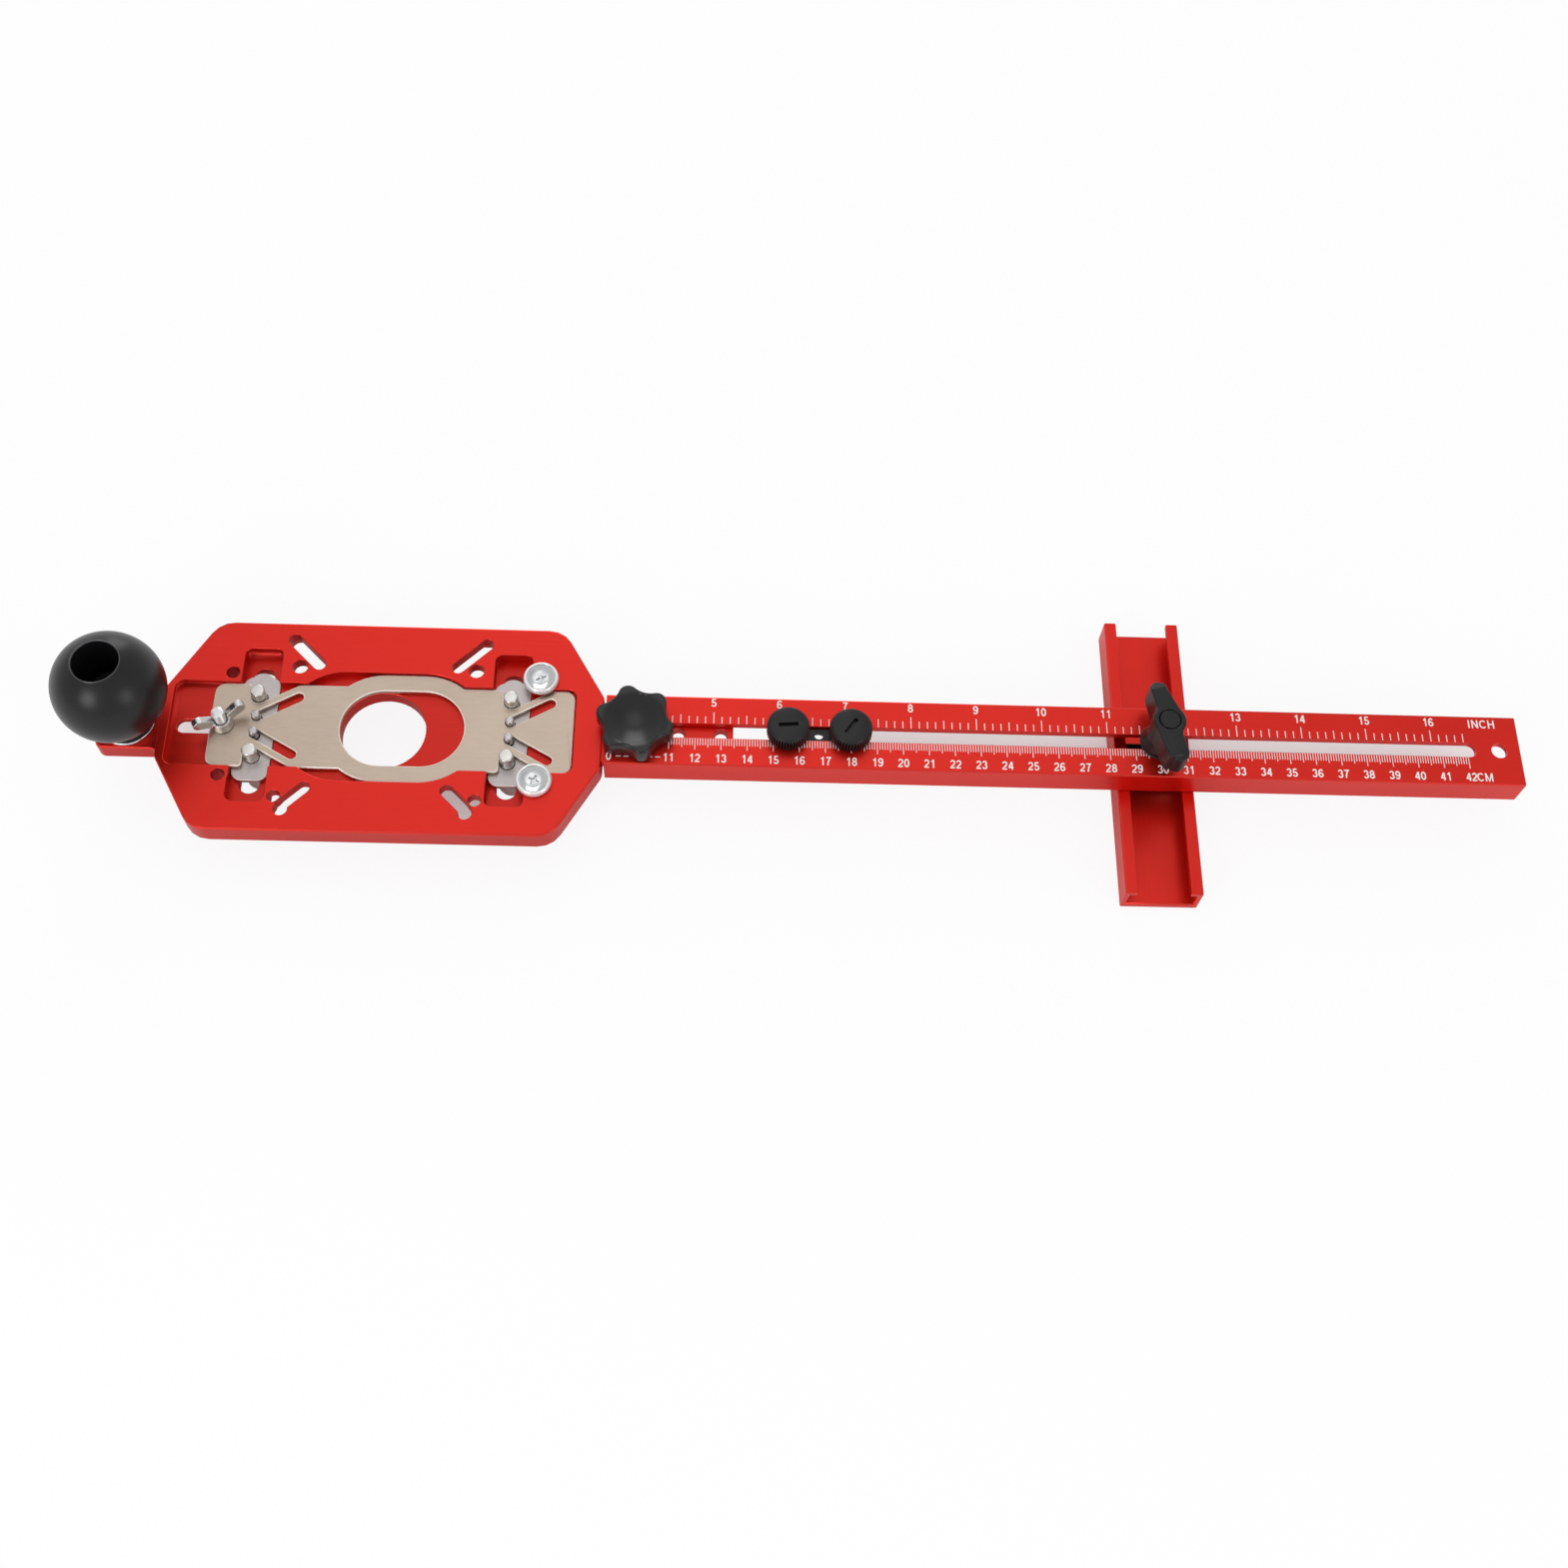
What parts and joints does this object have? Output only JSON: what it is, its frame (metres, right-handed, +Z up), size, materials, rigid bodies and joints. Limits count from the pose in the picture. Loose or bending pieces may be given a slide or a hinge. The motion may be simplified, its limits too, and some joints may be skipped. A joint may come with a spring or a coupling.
{
  "type": "router bracket",
  "caption": "Router base bracket with a self-centring slide plate, a slotted ruler bar, a pivot slider, a cross fence and a ball grip.",
  "frame": {"origin": "under the middle of the bounding box, on the surface the bracket stands on", "axes": "+X along the ruler away from the ball grip, +Y to the rear, +Z up"},
  "size_m": [0.5584, 0.12, 0.0673],
  "materials": {
    "red_anodised_aluminium": "satin",
    "stainless_steel": "satin",
    "grey_steel": "satin",
    "zinc_plated_steel": "satin",
    "black_plastic": "matte",
    "black_steel": "satin"
  },
  "bodies": {
    "base": {"base_plate": "red_anodised_aluminium", "front_hold_down_screw": "zinc_plated_steel", "rear_hold_down_screw": "zinc_plated_steel", "grip_washer": "zinc_plated_steel", "ball_grip": "black_plastic", "grip_bolt": "black_steel"},
    "slide": {"slide_plate": "stainless_steel", "lock_bolt": "zinc_plated_steel"},
    "wing_nut": {"wing_nut": "zinc_plated_steel"},
    "star_knob": {"star_knob": "black_plastic", "star_knob_stud": "zinc_plated_steel"},
    "ruler": {"ruler": "red_anodised_aluminium"},
    "pivot_slider": {"pivot_slider": "black_steel"},
    "left_thumb_screw": {"left_thumb_screw_head": "black_plastic", "left_thumb_screw_stud": "zinc_plated_steel"},
    "right_thumb_screw": {"right_thumb_screw_head": "black_plastic", "right_thumb_screw_stud": "zinc_plated_steel"},
    "fence_clamp": {"fence_clamp_washer": "black_steel"},
    "fence_swivel": {"fence_clamp_bolt": "black_steel"},
    "fence": {"fence": "red_anodised_aluminium"},
    "wing_knob": {"wing_knob": "black_plastic", "wing_knob_cap": "black_plastic"},
    "left_rear_carriage": {"left_rear_carriage_plate": "grey_steel", "left_rear_drive_pin": "zinc_plated_steel", "left_rear_guide_post": "zinc_plated_steel"},
    "left_rear_roller": {"left_rear_guide_roller": "grey_steel"},
    "left_front_carriage": {"left_front_carriage_plate": "grey_steel", "left_front_drive_pin": "zinc_plated_steel", "left_front_guide_post": "zinc_plated_steel"},
    "left_front_roller": {"left_front_guide_roller": "grey_steel"},
    "right_rear_carriage": {"right_rear_carriage_plate": "grey_steel", "right_rear_drive_pin": "zinc_plated_steel", "right_rear_guide_post": "zinc_plated_steel"},
    "right_rear_roller": {"right_rear_guide_roller": "grey_steel"},
    "right_front_carriage": {"right_front_carriage_plate": "grey_steel", "right_front_drive_pin": "zinc_plated_steel", "right_front_guide_post": "zinc_plated_steel"},
    "right_front_roller": {"right_front_guide_roller": "grey_steel"}
  },
  "joints": [
    {"name": "slide_travel", "type": "slide", "parent": "base", "child": "slide", "axis": [-1, 0, 0], "range_m": [0, 0.015]},
    {"name": "wing_nut_turn", "type": "hinge", "parent": "slide", "child": "wing_nut", "pos_m": [-0.22257, -0.0017, 0.024], "axis": [0, 0, 1], "continuous": true},
    {"name": "left_rear_carriage_travel", "type": "slide", "parent": "base", "child": "left_rear_carriage", "axis": [0, 1, 0], "range_m": [0, 0.00867]},
    {"name": "left_rear_roller_turn", "type": "hinge", "parent": "left_rear_carriage", "child": "left_rear_roller", "pos_m": [-0.21027, 0.0111, 0.0075], "axis": [0, 0, 1], "continuous": true},
    {"name": "left_front_carriage_travel", "type": "slide", "parent": "base", "child": "left_front_carriage", "axis": [0, -1, 0], "range_m": [0, 0.00867]},
    {"name": "left_front_roller_turn", "type": "hinge", "parent": "left_front_carriage", "child": "left_front_roller", "pos_m": [-0.21027, -0.0145, 0.0075], "axis": [0, 0, 1], "continuous": true},
    {"name": "right_rear_carriage_travel", "type": "slide", "parent": "base", "child": "right_rear_carriage", "axis": [0, 1, 0], "range_m": [0, 0.00867]},
    {"name": "right_rear_roller_turn", "type": "hinge", "parent": "right_rear_carriage", "child": "right_rear_roller", "pos_m": [-0.11327, 0.0111, 0.0075], "axis": [0, 0, 1], "continuous": true},
    {"name": "right_front_carriage_travel", "type": "slide", "parent": "base", "child": "right_front_carriage", "axis": [0, -1, 0], "range_m": [0, 0.00867]},
    {"name": "right_front_roller_turn", "type": "hinge", "parent": "right_front_carriage", "child": "right_front_roller", "pos_m": [-0.11327, -0.0145, 0.0075], "axis": [0, 0, 1], "continuous": true},
    {"name": "ruler_travel", "type": "slide", "parent": "base", "child": "ruler", "axis": [1, 0, 0], "range_m": [-0.0006, 0.0048]},
    {"name": "star_knob_turn", "type": "hinge", "parent": "base", "child": "star_knob", "pos_m": [-0.06477, -0.0017, 0.03], "axis": [0, 0, 1], "continuous": true},
    {"name": "pivot_slider_travel", "type": "slide", "parent": "ruler", "child": "pivot_slider", "axis": [1, 0, 0], "range_m": [-0.015, 0.094]},
    {"name": "left_thumb_screw_turn", "type": "hinge", "parent": "pivot_slider", "child": "left_thumb_screw", "pos_m": [-0.00622, -0.0017, 0.03], "axis": [0, 0, 1], "continuous": true},
    {"name": "right_thumb_screw_turn", "type": "hinge", "parent": "pivot_slider", "child": "right_thumb_screw", "pos_m": [0.01789, -0.0017, 0.03], "axis": [0, 0, 1], "continuous": true},
    {"name": "fence_clamp_travel", "type": "slide", "parent": "ruler", "child": "fence_clamp", "axis": [1, 0, 0], "range_m": [-0.094, 0.12]},
    {"name": "fence_swing", "type": "hinge", "parent": "fence_clamp", "child": "fence_swivel", "pos_m": [0.13794, -0.0017, 0.02], "axis": [0, 0, 1], "continuous": true},
    {"name": "fence_travel", "type": "slide", "parent": "fence_swivel", "child": "fence", "axis": [0, 1, 0], "range_m": [-0.054, 0.0505]},
    {"name": "wing_knob_turn", "type": "hinge", "parent": "fence_swivel", "child": "wing_knob", "pos_m": [0.13794, -0.0017, 0.036], "axis": [0, 0, 1], "continuous": true}
  ],
  "couplings": [
    {"joint": "left_rear_carriage_travel", "follows": "slide_travel", "ratio": 0.57735},
    {"joint": "left_front_carriage_travel", "follows": "slide_travel", "ratio": 0.57735},
    {"joint": "right_rear_carriage_travel", "follows": "slide_travel", "ratio": 0.57735},
    {"joint": "right_front_carriage_travel", "follows": "slide_travel", "ratio": 0.57735}
  ]
}
